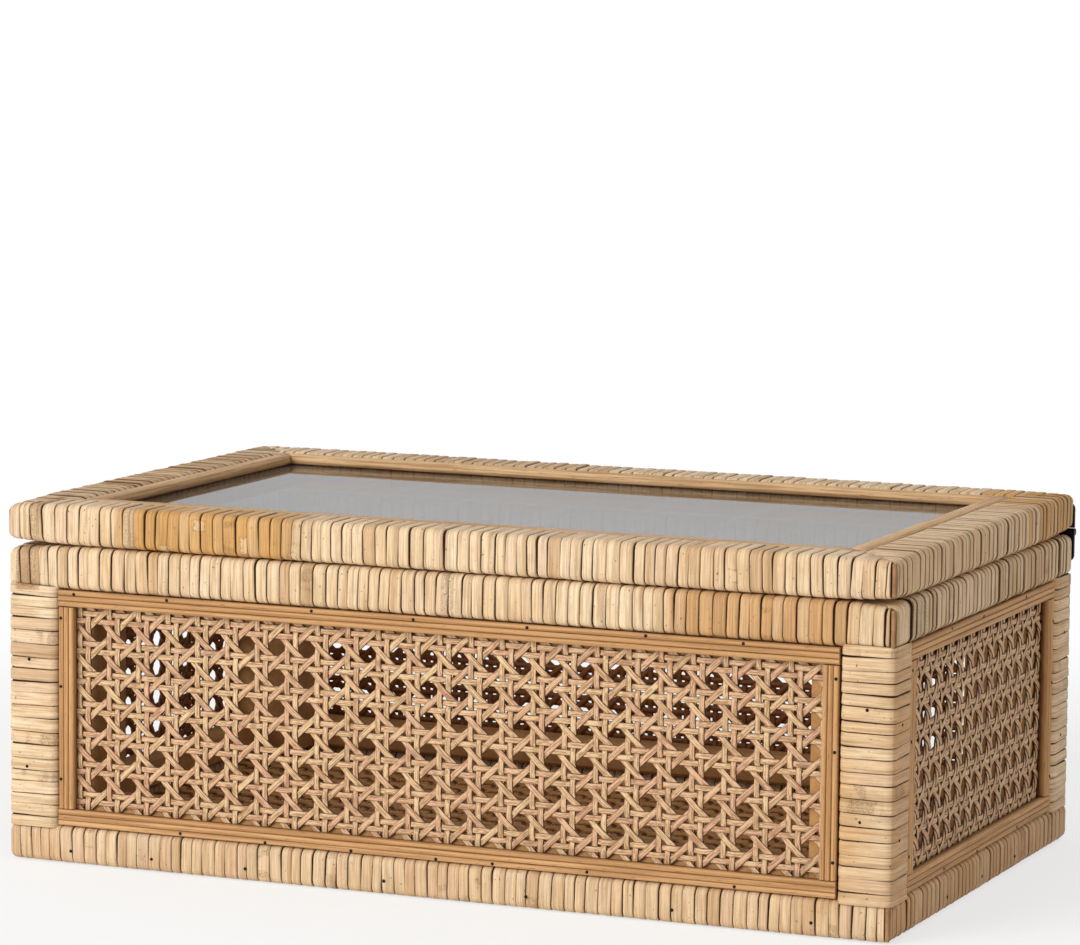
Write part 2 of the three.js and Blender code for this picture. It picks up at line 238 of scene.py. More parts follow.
def newTree(name, **sizes):  # a geometry tree with an input for each size, and its opening wires
    tree = bpy.data.node_groups.new(name, "GeometryNodeTree")
    tree.interface.new_socket("Geometry", in_out="INPUT", socket_type="NodeSocketGeometry")
    tree.interface.new_socket("Geometry", in_out="OUTPUT", socket_type="NodeSocketGeometry")
    for size, value in sizes.items():
        kind = "Material" if value is None else "Int" if isinstance(value, int) else "Float"
        socket = tree.interface.new_socket(label(size), in_out="INPUT", socket_type="NodeSocket" + kind)
        if value is not None:
            socket.default_value = value
    graph = Graph(tree)
    outputs = tree.nodes.new("NodeGroupInput").outputs
    return graph, SimpleNamespace(**{size: Wire(graph, outputs[label(size)]) for size in ("geometry", *sizes)})


def linked(name, data):  # a new object in the scene
    made = bpy.data.objects.new(name, data)
    bpy.context.scene.collection.objects.link(made)
    return made


def grow(tree, start=None, **sizes):  # the plain mesh that a tree makes with these sizes
    maker = linked("maker", start or bpy.data.meshes.new("maker"))
    modifier = maker.modifiers.new("grow", "NODES")
    modifier.node_group = tree
    sockets = {s.name: s.identifier for s in tree.interface.items_tree if s.in_out == "INPUT"}
    for size, value in sizes.items():
        modifier[sockets[label(size)]] = value
    graph = bpy.context.evaluated_depsgraph_get()
    mesh = bpy.data.meshes.new_from_object(
        maker.evaluated_get(graph), preserve_all_data_layers=True, depsgraph=graph)
    maker.modifiers.remove(modifier)
    bpy.data.objects.remove(maker)
    return mesh


# Pieces

def keepInside(mesh):  # what stands out of the whole box is drawn in
    for axis in range(3):
        values = [vertex.co[axis] for vertex in mesh.vertices]
        low, high = min(values), max(values)
        newLow, newHigh = max(low, cadBounds[0][axis]), min(high, cadBounds[1][axis])
        if (newLow, newHigh) == (low, high):
            continue
        scale = (newHigh - newLow) / (high - low)
        for vertex in mesh.vertices:
            vertex.co[axis] = newLow + (vertex.co[axis] - low) * scale


def finishPiece(name, meshes, body, slot, *nodes):  # one object from placed meshes, riding on its body
    piece, *others = [linked(name, mesh) for mesh in meshes]
    if others:
        with bpy.context.temp_override(active_object=piece, selected_editable_objects=[piece, *others]):
            bpy.ops.object.join()
    piece.data.name = name
    keepInside(piece.data)
    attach(piece, body)
    if nodes:
        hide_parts(*nodes)


def placed(mesh, matrix):
    mesh.transform(matrix)
    return mesh


# Each side is worked on as the front is: x along it, y in from its outer face, z up.
# lift: which edge of a turn of peel lies higher, and by how much; shade: how wide the painted shade along the
# edges of each turn is; slots: how wide the dark slots are.
lidFront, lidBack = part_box("lid_rail_front"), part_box("lid_rail_back")
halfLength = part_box("lid_rail_right")[1].x
halfDepth = (lidBack[1].y - lidFront[0].y) / 2
middleY = (lidBack[1].y + lidFront[0].y) / 2
sides = {
    "front": dict(
        turn=0, length=2 * halfLength, reach=halfDepth, backEnds=(),
        lift=0.3, gap=0.008, shade=1.0, bulge=0.013, slots=0.4),
    "right": dict(
        turn=90, length=2 * halfDepth, reach=halfLength, backEnds=(1,),
        lift=-0.6, gap=0.017, shade=1.6, bulge=0.026, slots=3),
    "back": dict(
        turn=180, length=2 * halfLength, reach=halfDepth, backEnds=(-1, 1),
        lift=-0.4, gap=0.006, shade=0.85, bulge=0.018, slots=1),
    "left": dict(
        turn=-90, length=2 * halfDepth, reach=halfLength, backEnds=(-1,),
        lift=1.0, gap=0.024, shade=1.6, bulge=0.026, slots=1),
}
for side in sides.values():
    turn = Matrix.Rotation(math.radians(side["turn"]), 4, "Z")
    side["place"] = Matrix.Translation((0, middleY, 0)) @ turn @ Matrix.Translation((0, -side["reach"], 0))


def sideBox(side, node):  # a node's lowest and highest corners, as its side has them
    corners = [side["place"].inverted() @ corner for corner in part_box(node)]
    return [Vector([end(corner[i] for corner in corners) for i in range(3)]) for end in (min, max)]


# Finishes

def emptied(owner):  # the tree of a material or a world, without the nodes that it starts with
    owner.use_nodes = True
    owner.node_tree.nodes.clear()
    return Graph(owner.node_tree)


def newFinish(name):
    material = bpy.data.materials.new(name)
    return material, emptied(material)


def closeFinish(graph, color, roughness, height=None, distance=0.00025, strength=0.5, more=None):
    values = {"Base Color": color, "Roughness": roughness, **(more or {})}
    if height is not None:
        values["Normal"] = graph.add("ShaderNodeBump", {
            "Strength": strength, "Distance": distance, "Height": height})
    graph.end(graph.add("ShaderNodeBsdfPrincipled", values), "ShaderNodeOutputMaterial")


def onFront(x, z, halfWidth, halfHeight, *share):  # a stretch of the front's peel, from its face inwards
    face, halfDepth = -0.111, 0.03
    return (x, face, z), (halfWidth, halfDepth, halfHeight), *share


peelLook = dict(
    pale="e9d1ae", warm="dbb98e", pink="e2c2a5", gold="c89550", brown="b1875a",
    # seam: painted shade along the edges of each turn, for the gap beside the next, partly the peel's own
    # darker edge
    tan="c3915f", scar="6e4a2e", bare="e3c8a0", seam="381c0a", grainSize=1500, streakSize=620, patchSize=9.0,
    # the middle of each stretch, half its size, and how strong it is there
    goldPlaces=[
        onFront(-0.095, 0.132, 0.034, 0.0085, 0.9),
        onFront(0.132, 0.115, 0.034, 0.0085, 0.6),
        ((0.175, 0.085, 0.132), (0.03, 0.030, 0.0085), 0.9)],
    brownPlaces=[
        ((-0.170, 0.010, 0.132), (0.03, 0.060, 0.0085)), ((0.172, 0.045, 0.115), (0.03, 0.035, 0.0085)),
        onFront(-0.1715, 0.115, 0.0050, 0.009), ((-0.060, 0.105, 0.132), (0.05, 0.03, 0.0085))],
    # tan, mostly over the right-hand faces that stand away from the key lamp: painted shade, darker and
    # warmer, for the light on that side; partly the peel's own tan
    tanAndShadePlaces=[
        ((0.1815, -0.100, 0.060), (0.0020, 0.025, 0.046)), ((0.1815, 0, 0.132), (0.0032, 0.12, 0.0085), 0.4),
        ((0.1815, 0, 0.007), (0.0032, 0.12, 0.0072)), ((0.170, -0.101, 0.060), (0.0125, 0.0125, 0.046), 0.3),
        onFront(0.128, 0.115, 0.036, 0.0085, 0.8)],
    scarPlaces=[
        onFront(-0.1690, 0.132, 0.0024, 0.009), onFront(-0.1725, 0.115, 0.0045, 0.009),
        ((0.175, -0.085, 0.115), (0.03, 0.012, 0.009)), onFront(-0.128, 0.132, 0.0020, 0.009),
        onFront(0.005, 0.115, 0.0024, 0.009)],
    nodePlaces=[
        onFront(-0.098, 0.1352, 0.0021, 0.0020), onFront(-0.113, 0.1250, 0.0020, 0.0018),
        onFront(-0.079, 0.1285, 0.0017, 0.0032), onFront(-0.059, 0.1258, 0.0017, 0.0016),
        onFront(-0.145, 0.0105, 0.0016, 0.0030), onFront(0.118, 0.1300, 0.0016, 0.0022)],
)


def makePeel():
    look = peelLook
    pale, warm, pink, gold, brown, tan, scar, bareWood, seam = (tint(look[key]) for key in (
        "pale", "warm", "pink", "gold", "brown", "tan", "scar", "bare", "seam"))
    material, graph = newFinish("rattanPeel")
    lie, turn, crown = graph.strand()
    place = graph.place()
    grain = graph.noise(lie, (look["grainSize"], 40, 40), 3, 0.65)
    streak = graph.noise(lie, (look["streakSize"], 24, 24), 3, 0.65)
    mottle = graph.noise(lie, (330, 130, 130), 4, 0.6)
    patch = graph.noise(place, look["patchSize"])

    def own(factor):  # another chance for each turn
        return (turn * factor).of("FRACT")

    drift = graph.noise(place, 30, 2, 0.6)
    color = graph.blend((drift * 1.6 + turn * 0.4 - 0.6).clamp(), pale, warm)
    color = graph.blend(own(7.3).ramp(0.6, 1.0, 0, 0.6), color, pink)

    # one strand of golden peel covers many turns before the next begins
    def places(key, soft=0.1, shift=0.0):
        mask = 0.0
        at = graph.add("ShaderNodeVectorMath", {0: place, 1: graph.vector(shift, shift)}, operation="ADD")
        for middle, reach, *share in look[key]:
            mask = graph.math("MAXIMUM", graph.within(at, middle, reach, soft) * (share or [1])[0], mask)
        return mask

    shift = own(3.7)
    ragged = places("goldPlaces", 0.1, shift * 0.024 - 0.012)  # its ends are ragged
    golden = patch.ramp(0.64, 0.72, 0, 0.5).of("MAXIMUM", ragged) * shift.ramp(0.05, 0.5, 0.45, 1.0)
    color = graph.blend(golden, color, gold)
    color = graph.blend(places("brownPlaces") * own(5.3).ramp(0, 1, 0.25, 0.6), color, brown)
    # painted shade: tan over the right-hand faces, for the dimmer, warmer light there, partly the peel's own
    # tan
    color = graph.blend(places("tanAndShadePlaces") * own(9.1).ramp(0, 1, 0.45, 0.8), color, tan)
    color = graph.blend(mottle.ramp(0.4, 0.75, 0, 0.32), color, brown)
    color = graph.blend(streak.ramp(0.45, 0.7, 0.0, 0.6), color, brown)

    # scars where a leaf grew: rough specks, on a few turns only
    speck = graph.noise(lie, (2300, 2300, 2300), 3, 0.7)
    spread = graph.noise(lie, (60, 170, 170), 1).ramp(0.5, 0.6)
    scattered = own(31.7).ramp(0.84, 0.88) * spread
    scarred = speck.ramp(0.46, 0.64) * scattered.of("MAXIMUM", places("scarPlaces"))
    rough = graph.noise(place, 900, 2, 0.6)
    bare = places("nodePlaces", 0.9) + rough * 1.1  # the skin has come off a few of them
    color = graph.blend(bare.ramp(1.0, 1.3, 0, 0.6) * speck.ramp(0.36, 0.5), color, bareWood)
    edge = bare.ramp(0.93, 1.0) * bare.ramp(1.03, 1.12, 0.9, 0) * speck.ramp(0.4, 0.55)
    scarred = scarred.of("MAXIMUM", edge)
    freckle = graph.noise(lie, (900, 700, 700), 1).ramp(0.72, 0.76, 0, 0.7)
    color = graph.blend((scarred * 0.45).of("MAXIMUM", freckle), color, scar)
    worn = own(11.3).ramp(0.88, 0.95, 0, 0.45)  # a few turns are darker all over
    # painted shade: the lowest turns, next to the floor, are darkened towards brown
    lowShade = graph.split(place)[2].ramp(0.016, 0.024, 0.2, 0.0)
    color = graph.blend(worn.of("MAXIMUM", lowShade), color, brown)
    fine = grain.ramp(0.3, 0.65, 0.74, 1.06)
    color = graph.blend(1.0, color, graph.vector(fine, fine, fine), "MULTIPLY")
    seamShadeStrength = own(17.9).ramp(0.1, 0.75, 0.55, 1.0)  # some turns meet closely, others gape: the painted shade along their edges is strong on some, faint on others
    # painted shade: each turn darkens towards its edges, for the shade in the gap beside the next, and partly
    # for the peel's own darker edge
    color = graph.blend(crown.ramp(0.07, 0.63, 0.96, 0.0) * seamShadeStrength, color, seam)

    height = grain * 0.6 + streak * 0.8 - scarred * 0.8
    roughness = 0.5 + grain.ramp(0.3, 0.7, -0.05, 0.08) + golden * -0.06
    closeFinish(graph, color, roughness, height, strength=0.7, more={"Specular IOR Level": 0.12})
    return material


coreLook = dict(
    # seam: the dark of the pores, and the painted shade along each strand's edges
    light="d1a571", dark="b58554", seam="5a381f", sap="9c7044", floorLight="dca363", floorDark="b27d45",
    beadLight="dcb98b", beadDark="c69a6a")


def makeCore(name="rattanCore", light="light", dark="dark", edge=0.5):  # strands sawn from inside the rattan
    look = coreLook
    material, graph = newFinish(name)
    lie, turn, crown = graph.strand()
    fibre = graph.noise(lie, (20, 1100, 1100), 3, 0.7)
    wave = graph.noise(lie, (12, 260, 260), 3)
    color = graph.blend(turn * 0.5 + wave * 0.5, tint(look[light]), tint(look[dark]))
    color = graph.blend(fibre.ramp(0.42, 0.62, 0, 0.75), color, tint(look["sap"]))
    pore = graph.noise(lie, (180, 2400, 2400)).ramp(0.64, 0.72, 0, 0.6)
    color = graph.blend(pore, color, tint(look["seam"]))
    # painted shade: each strand darkens towards its edges, for the shade where it meets the next, and partly
    # for its own darker edge
    color = graph.blend(crown.ramp(0.0, edge, 0.7, 0.0), color, tint(look["seam"]))
    closeFinish(graph, color, 0.52 + fibre * 0.15, fibre + wave * 0.5, more={"Specular IOR Level": 0.3})
    return material


woodLook = dict(
    # cornerLight and cornerDark: the strand in the corner slot, a brown darker than the peel, partly its own
    # colour and partly painted shade for the slot
    stickLight="c6955f", stickDark="98673c", cornerLight="b58a62", cornerDark="70492f",
    # underLight and under: the bar under the peel, painted nearly black, standing for the shade in the gaps
    # between turns
    underLight="3a200e", under="28150a")


def makeWood(name, light, dark, strength=0.5):  # bare sticks, read by their place in the box
    light, dark = tint(woodLook[light]), tint(woodLook[dark])
    material, graph = newFinish(name)
    place = graph.place()
    broad = graph.noise(place, (90, 90, 90), 3, 0.6)
    fibre = graph.noise(place, (700, 700, 700), 3, 0.7)
    color = graph.blend(broad.ramp(0.3, 0.7, 0.1, 0.6), light, dark)
    color = graph.blend(fibre.ramp(0.3, 0.75, 0, 0.35), color, dark)
    closeFinish(graph, color, 0.6 + fibre * 0.15, fibre, 0.0003, strength, {"Specular IOR Level": 0.15})
    return material


# back: the pith side of each strand, its light wood painted dark brown for the shade inside the box
# seam: painted shade along the edges of each strand, partly its own darker edge
caneLook = dict(light="dfc192", rose="d0a382", grey="b3957b", dark="87572f", seam="351706", back="774217")


def makeCane():
    light, rose, grey, dark, seam, back = (tint(color) for color in caneLook.values())
    material, graph = newFinish("caneStrand")
    lie, turn, crown = graph.strand()
    fibre = graph.noise(lie, (60, 2200, 2200), 3, 0.6)
    along = graph.noise(lie, (70, 10, 10), 3, 0.6)
    color = graph.blend((turn * 0.7 + along * 0.9 - 0.3).clamp(), light, rose)
    color = graph.blend(along.ramp(0.58, 0.7, 0, 0.7), color, grey)
    color = graph.blend(fibre.ramp(0.42, 0.6, 0, 0.7), color, dark)
    # painted shade: each strand darkens towards its edges, for the contact shade where strands cross and meet,
    # and partly for its own darker edge
    color = graph.blend(crown.ramp(0.35, 0.92, 0.92, 0.0), color, seam)
    pithInShade = graph.blend(fibre.ramp(0.4, 0.65, 0, 0.6), back, dark)
    color = graph.blend(graph.attribute("inner").ramp(0.6, 0.9), color, pithInShade)  # the pith side of each strand, facing into the box: its light wood painted dark brown for the shade in there
    closeFinish(graph, color, 0.5 + fibre * 0.2, fibre, 0.0002, more={"Specular IOR Level": 0.3})
    return material


steelLook = dict(black="1c1a19", worn="4a4744")


def makeSteel():
    material, graph = newFinish("blackSteel")
    cloud = graph.noise(graph.place(), 260, 3, 0.6)
    color = graph.blend(cloud.ramp(0.55, 0.8, 0, 0.5), tint(steelLook["black"]), tint(steelLook["worn"]))
    closeFinish(graph, color, 0.38 + cloud * 0.2, cloud, 0.0001, 0.3, {"Metallic": 0.85})
    return material


glassLook = dict(film="2a2c2c", streak="565b5d", clear=0.02, sheen=1.25, index=1.5)


def makeGlass():  # clear from above, and full of the room's reflection along a low look
    look = glassLook
    material, graph = newFinish("clearGlass")
    place = graph.place()
    dust = graph.noise(place, 14, 3, 0.6)
    wiped = graph.noise(place, (240, 9, 1), 3, 0.6).ramp(0.45, 0.75)
    film = graph.blend(wiped, tint(look["film"]), tint(look["streak"]))
    glance = graph.add("ShaderNodeLayerWeight", {"Blend": 0.5}, "Facing")  # the same from both of its sides
    alpha = (look["clear"] + (glance ** 5 * 0.96 + 0.04) * look["sheen"]).clamp()
    closeFinish(
        graph, film, 0.03 + dust.ramp(0.4, 0.8, 0, 0.04), more={"Alpha": alpha, "IOR": look["index"]})
    return material


peelFinish = makePeel()
coreFinish = makeCore()
beadFinish = makeCore("beadStrand", "beadLight", "beadDark", 0.08)
caneFinish = makeCane()
stickFinish = makeWood("bareStick", "stickLight", "stickDark")
# partly painted shade: the corner strand is browner and darker than the peel, for the shade in its slot
cornerFinish = makeWood("cornerStrand", "cornerLight", "cornerDark")
# painted shade: the bar under the peel is nearly black, for the shade in the gaps between turns
underShadeFinish = makeWood("underPeelShade", "underLight", "under", 0.3)
steelFinish = makeSteel()
glassFinish = makeGlass()
print("finishes made")


# Peel winding: turns of split peel laid side by side round a bar that runs along x

winding = dict(
    turnWidth=0.0047, tilt=0.26, overlap=0.0022, thinning=0.035, backDrop=0.4, edgeSteps=3,
    ownLean=0.02, narrowing=0.25, narrowFrom=0.93, narrowBy=0.07,
    cornerSlot=0.0024, closedSlot=0.3, cornerDepth=0.003, cornerStrand=0.0016, cornerRound=0.4,
    cornerReach=0.36, strandShort=0.0016,
    barInset=0.8, barEdge=0.0024, barRings=(0.009, 0.018, 0.027, 0.035), ledgeEdge=0.0005, ledgeRise=0.0002,
)
peelTurns = dict(
    edge=0.0030, thickness=0.0009, bow=0.0013, unevenness=0.18, lean=0.10, slotFromEnd=0.0185, endLean=0.03)


def windingTree():
    graph, size = newTree(
        "Peel winding", barLength=0.36, barDepth=0.018, barHeight=0.0165, turns=76, tilt=0.26, gap=0.01,
        shade=1.0, bulge=0.012, slotWidth=0.0017, seed=1, finish=None, **peelTurns)
    length, depth, height = size.barLength, size.barDepth, size.barHeight
    thick, seed = size.thickness, size.seed

    # the way round the bar, under the peel
    around = graph.add("GeometryNodeCurvePrimitiveQuadrilateral", {
        "Width": depth - thick * 2, "Height": height - thick * 2})
    around = graph.add("GeometryNodeFilletCurve", {
        "Curve": around, "Count": winding["edgeSteps"], "Radius": size.edge - thick}, mode="POLY")

    # the peel's own section: one edge lies a little over the turn beside it
    width = length / size.turns * (1 - size.gap)
    section = graph.flatSection(width, thick, size.tilt, size.shade)
    turnMesh = graph.add("GeometryNodeTransform", {
        "Geometry": graph.sweep(around, section), "Rotation": (math.pi / 2, 0, math.pi / 2)})

    # turns of uneven width, side by side over the whole length
    row = graph.add("GeometryNodeMeshLine", {"Count": size.turns, "Offset": (0, 0, 0)})
    share = graph.chance(1 - size.unevenness, 1 + size.unevenness, seed)
    before = graph.add("GeometryNodeAccumulateField", {"Value": share}, "Trailing", data_type="FLOAT")
    total = before.out("Total")
    middle = ((before + share * 0.5) / total - 0.5) * length
    outside = (abs(middle) - (length * 0.5 - size.slotFromEnd)).of("SIGN")
    middle = middle + middle.of("SIGN") * outside * size.slotWidth * 0.5
    row = graph.move(row, "Position", middle, depth * 0.5, height * 0.5)
    index = graph.index()
    drift = graph.noise(graph.vector(index * 0.23, seed * 3.7, 0)) - 0.5
    skew = graph.noise(graph.vector(index * 0.31, seed * 5.1, 9)) - 0.5
    own = graph.chance(-winding["ownLean"], winding["ownLean"], seed + 5)
    beyond = middle.of("SIGN") * outside.of("MAXIMUM", 0.0) * size.endLean
    narrow = graph.chance(0.0, 1.0, seed + 6).of("GREATER_THAN", winding["narrowFrom"]) * winding["narrowBy"]
    narrow = 1 - graph.chance(0.0, winding["narrowing"], seed + 1) ** 2 - narrow
    row = graph.repeat(row, turnMesh, seed + 4, {
        "Rotation": graph.vector(0, drift * size.lean * 2 + own + beyond, skew * size.lean * 2 + own),
        "Scale": graph.vector(
            share / total * size.turns * narrow,
            1 + graph.chance(-1.0, 1.0, seed + 2) * size.bulge,
            1 + graph.chance(-1.0, 1.0, seed + 3) * size.bulge)})

    # no turn is quite straight, and those beside each other bend alike
    x, y, z = graph.point()
    bend = graph.noise(graph.vector(graph.stored("number") * 0.17, seed * 2.3, 4)) - 0.5
    high, deep = z / height - 0.5, y / depth - 0.5
    row = graph.move(row, "Offset", bend * (high * high * 4 + deep * deep * 2 - 1) * size.bow * 2)

    # coordinates for the finish: x across the peel, y and z along it, each turn read from another place
    turn = graph.stored("turn")
    row = graph.store(row, "lie", graph.vector(x, y + turn * 9, z + turn * 5), "FLOAT_VECTOR")
    return graph.close(row, size.finish)


windingNodes = windingTree()


def wind(length, depth, height, turns, seed, **sizes):  # a size that isn't given is that of a rail's turns
    return grow(
        windingNodes, barLength=length, barDepth=depth, barHeight=height, turns=turns, seed=seed,
        finish=peelFinish, **{**peelTurns, **sizes})


def mitre(mesh, length, spread=0.0, seed=0, slots=None):  # ends cut at 45 degrees, every turn at its own place
    draw = random.Random(seed)
    work = bmesh.new()
    work.from_mesh(mesh)
    tag = work.verts.layers.float.get("number")
    turns = {}
    for face in work.faces:
        turns.setdefault(face.verts[0][tag] if tag else 0, []).append(face)
    for end in (-1, 1):
        planes = [(length / 2, Vector((end, 1, 0)).normalized())]
        if slots:  # a second cut opens a dark slot down the corner
            across = Vector((end * winding["cornerDepth"], winding["cornerDepth"] - slots[end], 0))
            planes.append((length / 2 - slots[end], across.normalized()))
        for index, faces in sorted(turns.items()):
            over = draw.uniform(-0.15, 1) * spread
            for reach, normal in planes:
                faces = [f for f in faces if f.is_valid]
                verts = list({v for f in faces for v in f.verts})
                point = Vector((end * (reach + (over if reach == length / 2 else 0)), 0, 0))
                if not verts or max((v.co - point).dot(normal) for v in verts) <= 0:
                    continue
                edges = list({e for f in faces for e in f.edges})
                cut = bmesh.ops.bisect_plane(
                    work, geom=verts + edges + faces, dist=1e-6, plane_co=point, plane_no=normal,
                    clear_outer=True)
                rim = [e for e in cut["geom_cut"] if isinstance(e, bmesh.types.BMEdge)]
                filled = bmesh.ops.holes_fill(work, edges=rim)["faces"]
                faces = [g for g in cut["geom"] if isinstance(g, bmesh.types.BMFace) and g.is_valid] + filled
            turns[index] = faces
    work.to_mesh(mesh)
    work.free()
    return mesh


def thin(mesh, rail, side, height):  # a rail is slighter towards its ends
    for vertex in mesh.vertices:
        x, y, z = vertex.co
        near = min(max((abs(x) - side["length"] / 2) / winding["thinning"] + 1, 0), 1) ** 2
        atBack = (x > 0) * 2 - 1 in side["backEnds"]
        drop = rail["drop"] * (winding["backDrop"] if atBack else 1)
        vertex.co.y += near * rail["pull"] * (0 if atBack else 1 - y / rail["depth"])
        vertex.co.z += near * (rail["rise"] * (1 - z / height) - drop * z / height)
    return mesh


def roundedSection(low, high, radius, steps=3):  # corner points of a rounded rectangle, in (depth, height)
    corners = [(high[0], high[1], 0), (low[0], high[1], 90), (low[0], low[1], 180), (high[0], low[1], 270)]
    points = []
    for depth, height, start in corners:
        y = depth + (radius if depth == low[0] else -radius)
        z = height + (radius if height == low[1] else -radius)
        for step in range(steps + 1):
            angle = math.radians(start + 90 * step / steps)
            points.append((y + radius * math.cos(angle), z + radius * math.sin(angle)))
    return points


def barMesh(name, section, length, finish, rings=()):  # a plain bar along x, with extra rings near its ends
    work = bmesh.new()
    places = sorted({end * (length / 2 - ring) for end in (-1, 1) for ring in (0.0, *rings)})
    rings = [[work.verts.new((x, depth, height)) for depth, height in section] for x in places]
    for near, far in zip(rings, rings[1:]):
        for i in range(len(section)):
            j = (i + 1) % len(section)
            work.faces.new((near[i], near[j], far[j], far[i]))
    work.faces.new(rings[0])
    work.faces.new(list(reversed(rings[-1])))
    bmesh.ops.recalc_face_normals(work, faces=work.faces)
    mesh = bpy.data.meshes.new(name)
    work.to_mesh(mesh)
    work.free()
    mesh.materials.append(finish)
    return mesh


# Rails: each is a bare bar, its peel winding, and on some a ledge along the inside

rails = {
    "lid": dict(
        body="lid", depth=0.0200, rise=0.0013, drop=0.0010, pull=0.0001, relief=1.0, ledge=(0.0070, 0.0080),
        slot=0.0, seed=11),
    "rim": dict(
        body="box", depth=0.0180, rise=0.0, drop=0.0014, pull=0.0002, relief=1.1, ledge=None,
        slot=0.0006, seed=31),
    "base": dict(
        body="box", depth=0.0140, rise=0.0001, drop=0.0, pull=0.0004, relief=0.4, ledge=(0.0040, 0.0082),
        slot=0.0004, seed=51),
}
strap = dict(  # one wide turn near the rim's front right corner
    fromEnd=0.0022, width=0.0150, proud=0.00012, seed=66,
    turns=dict(
        tilt=0.0, gap=0.0, shade=0.8, bow=0.0, unevenness=0.0, lean=0.0, bulge=0.0, slotFromEnd=0.0,
        slotWidth=0.0, endLean=0.0))


def cornerPiece(node, rail, length, height):  # a strand that stands in the corner's slot
    size, rise, drop = winding["cornerStrand"], rail["rise"], rail["drop"]
    section = roundedSection((-size / 2, -size / 2), (size / 2, size / 2), size * winding["cornerRound"])
    strand = barMesh(node, section, height - winding["strandShort"] - rise - drop, cornerFinish)
    placed(strand, Matrix.Rotation(-math.pi / 2, 4, "Y"))
    reach = peelTurns["thickness"] * 0.5 + size * winding["cornerReach"] + rail["pull"]
    return placed(strand, Matrix.Translation((length / 2 - reach, reach, height / 2 + rise / 2 - drop / 2)))


for level, rail in rails.items():
    depth, relief = rail["depth"], rail["relief"]
    for number, (name, side) in enumerate(sides.items()):
        node = f"{level}_rail_{name}"
        low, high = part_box(node)
        height = high.z - low.z
        length = side["length"]
        turns = round(length / winding["turnWidth"])
        mesh = wind(
            length, depth, height, turns, rail["seed"] + 5 * number,
            tilt=winding["tilt"] * side["lift"] * relief, gap=side["gap"] * relief,
            shade=1 + (side["shade"] - 1) * relief, bulge=side["bulge"] * relief,
            slotWidth=rail["slot"] * side["slots"])
        wide = {"front": 1, "right": -1}.get(name)  # the corner between these two shows the widest slot
        slots = {end: winding["cornerSlot"] * (1 if end == wide else winding["closedSlot"]) for end in (-1, 1)}
        mitre(mesh, length, winding["overlap"], rail["seed"] + number, slots)
        meshes = [thin(mesh, rail, side, height)]
        if (level, name) == ("rim", "right"):
            proud = strap["proud"]
            wrap = wind(
                strap["width"], depth + 2 * proud, height + 2 * proud, 1, strap["seed"], **strap["turns"])
            middle = strap["fromEnd"] + strap["width"] / 2 - length / 2
            placed(wrap, Matrix.Translation((middle, -proud, -proud)))
            meshes.append(thin(wrap, rail, side, height))
        place = side["place"] @ Matrix.Translation((0, 0, low.z))
        meshes = [placed(mesh, place) for mesh in meshes]
        finishPiece(f"{level}_winding_{name}", meshes, rail["body"], "rattan_peel", node)

        inset = peelTurns["thickness"] * winding["barInset"]
        section = roundedSection((inset, inset), (depth - inset, height - inset), winding["barEdge"])
        bar = mitre(barMesh(node, section, length, underShadeFinish, winding["barRings"]), length)
        parts = [thin(bar, rail, side, height)]
        if rail["ledge"]:
            width, top = rail["ledge"]
            section = roundedSection(
                (depth, winding["ledgeRise"]), (depth + width, top), winding["ledgeEdge"], 1)
            parts.append(mitre(barMesh(node, section, length, stickFinish), length))
        if name == "front":
            parts.append(cornerPiece(node, rail, length, height))
        parts = [placed(part, place) for part in parts]
        finishPiece(f"{level}_bar_{name}", parts, rail["body"], "bare_stick", node)
    print(level, "rails wound:", turns, "turns on a short side")


# Corner posts, wound the same way up their height

posts = dict(
    size=0.0216, sink=0.0002, overlap=0.0014, turns=20, seed=71, barEdge=0.0028,
    winding=dict(
        edge=0.0034, tilt=-0.06, gap=0.002, bow=0.0009, unevenness=0.16, shade=0.65, lean=0.05, bulge=0.008,
        slotFromEnd=0.0, slotWidth=0.0, endLean=0.0))

for number, name in enumerate(("front_right", "back_right", "back_left", "front_left")):
    node = f"corner_post_{name}"
    low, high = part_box(node)
    size, sink = posts["size"], posts["sink"]
    length = high.z - low.z + 2 * posts["overlap"]
    mesh = wind(
        length, size - 2 * sink, size - 2 * sink, posts["turns"], posts["seed"] + 5 * number,
        **posts["winding"])
    stand = Matrix.Translation((high.x, low.y, (low.z + high.z) / 2)) @ Matrix.Rotation(-math.pi / 2, 4, "Y")
    sunk = Matrix.Translation((0, sink, sink))
    finishPiece(f"post_winding_{name}", [placed(mesh, stand @ sunk)], "box", "rattan_peel", node)
    inset = peelTurns["thickness"] * winding["barInset"] + sink
    section = roundedSection((inset, inset), (size - inset, size - inset), posts["barEdge"])
    bar = barMesh(node, section, high.z - low.z, underShadeFinish)
    finishPiece(f"post_bar_{name}", [placed(bar, stand)], "box", "bare_stick", node)
print("posts wound")


# Laid strands: half-round strands side by side along x, their backs at y = 0, for trims and beads

